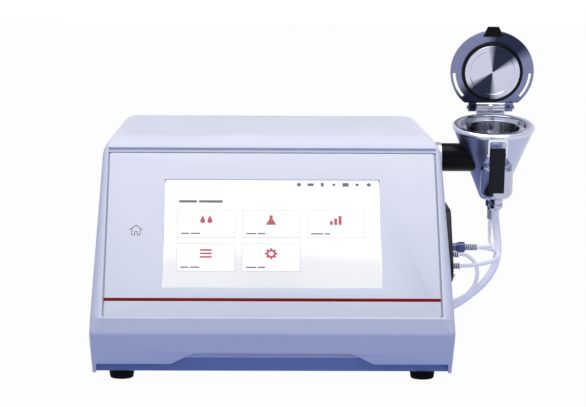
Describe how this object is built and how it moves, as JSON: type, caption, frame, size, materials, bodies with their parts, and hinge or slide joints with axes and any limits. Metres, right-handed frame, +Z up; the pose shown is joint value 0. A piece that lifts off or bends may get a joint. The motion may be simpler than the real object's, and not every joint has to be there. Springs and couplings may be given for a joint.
{
  "type": "benchtop density meter",
  "caption": "Free-standing laboratory density meter with a slanted touch screen, and a lidded steel filling funnel on an arm at its right side.",
  "frame": {"origin": "on the bench, under the middle of the whole instrument, housing and funnel together", "axes": "+X to the user's right, where the funnel is; +Y to the rear; +Z up"},
  "size_m": [0.4556, 0.3784, 0.3374],
  "materials": {
    "housing_grey": "fine satin moulded plastic",
    "pan_paint": "dark powder coat",
    "rear_paint": "fine powder coat",
    "panel_white": "smooth front film",
    "strip_red": "printed strip",
    "screen_glass": "lit touch screen",
    "steel": "turned stainless steel",
    "polished_steel": "polished stainless steel",
    "board_green": "circuit board",
    "foot_rubber": "matt rubber",
    "black_plastic": "moulded plastic",
    "gloss_black": "glossy plastic",
    "grey_plastic": "moulded plastic",
    "white_ceramic": "ceramic plates",
    "aluminium": "machined aluminium",
    "brass": "turned brass",
    "blue_steel": "blue-grey anodised metal",
    "seal_black": "o-ring rubber",
    "clear_tube": "clear tube",
    "cell_glass": "borosilicate glass"
  },
  "bodies": {
    "base": {"housing_shell": "housing_grey", "base_pan": "pan_paint", "rear_panel": "rear_paint", "front_panel": "panel_white", "trim_strip": "strip_red", "display_glass": "screen_glass", "lcd_module": "aluminium", "display_board": "board_green", "rubber_feet": "foot_rubber", "machine_screws": "steel", "mains_inlet": "black_plastic", "power_switch": "black_plastic", "socket_plate": "rear_paint", "data_ports": "steel", "fan_guard": "polished_steel", "fan_frame": "grey_plastic", "power_supply": "aluminium", "main_board": "board_green", "board_standoffs": "brass", "heat_sink": "aluminium", "peltier_pair": "white_ceramic", "cell_block": "aluminium", "u_tube": "cell_glass", "cell_lid": "grey_plastic", "pump_bracket": "rear_paint", "pump_motor": "grey_plastic", "pump_head": "white_ceramic", "internal_tubes": "clear_tube", "arm_bracket": "aluminium", "port_plate": "black_plastic", "inlet_fitting": "blue_steel", "inlet_spring_guard": "blue_steel", "port_fittings": "blue_steel", "port_spring_guards": "blue_steel", "arm_collar": "aluminium", "arm_tube": "gloss_black", "funnel_body": "steel", "funnel_cup": "polished_steel", "rinse_jet": "grey_plastic", "hinge_bracket": "polished_steel", "hinge_pin": "polished_steel", "latch_bracket": "steel", "latch_pin": "polished_steel", "drain_block": "polished_steel", "outlet_fitting": "blue_steel", "outlet_spring_guard": "blue_steel", "sample_tube": "clear_tube", "loop_tube": "clear_tube", "vent_tube": "clear_tube", "waste_hose": "clear_tube"},
    "lid": {"lid": "polished_steel", "lid_plug": "polished_steel", "lid_seal": "seal_black", "lid_strike": "gloss_black"},
    "latch_lever": {"latch_lever": "black_plastic"},
    "latch_bail": {"latch_bail": "polished_steel"},
    "inlet_nut": {"inlet_nut": "blue_steel"},
    "power_rocker": {"power_rocker": "grey_plastic"},
    "fan_rotor": {"fan_rotor": "black_plastic"},
    "pump_rotor": {"pump_rotor": "grey_plastic"}
  },
  "joints": [
    {"name": "lid_hinge", "type": "hinge", "parent": "base", "child": "lid", "pos_m": [0.184, 0.03896, 0.25116], "axis": [1, 0, 0], "range_deg": [0, 90]},
    {"name": "lever_hinge", "type": "hinge", "parent": "base", "child": "latch_lever", "pos_m": [0.184, -0.0414, 0.21288], "axis": [-1, 0, 0], "range_deg": [0, 90]},
    {"name": "bail_hinge", "type": "hinge", "parent": "latch_lever", "child": "latch_bail", "pos_m": [0.184, -0.04148, 0.20778], "axis": [-1, 0, 0], "range_deg": [-90, 0]},
    {"name": "nut_turn", "type": "hinge", "parent": "base", "child": "inlet_nut", "pos_m": [0.147, -0.0535, 0.1145], "axis": [1, 0, 0], "continuous": true},
    {"name": "rocker_tip", "type": "hinge", "parent": "base", "child": "power_rocker", "pos_m": [-0.126, 0.1805, 0.084], "axis": [-1, 0, 0], "range_deg": [0, 20]},
    {"name": "fan_spin", "type": "hinge", "parent": "base", "child": "fan_rotor", "pos_m": [0.044, 0.1665, 0.116], "axis": [0, 1, 0], "continuous": true},
    {"name": "pump_spin", "type": "hinge", "parent": "base", "child": "pump_rotor", "pos_m": [0.062, 0.1065, 0.048], "axis": [1, 0, 0], "continuous": true}
  ],
  "couplings": [
    {"joint": "bail_hinge", "follows": "lever_hinge", "ratio": -1}
  ]
}
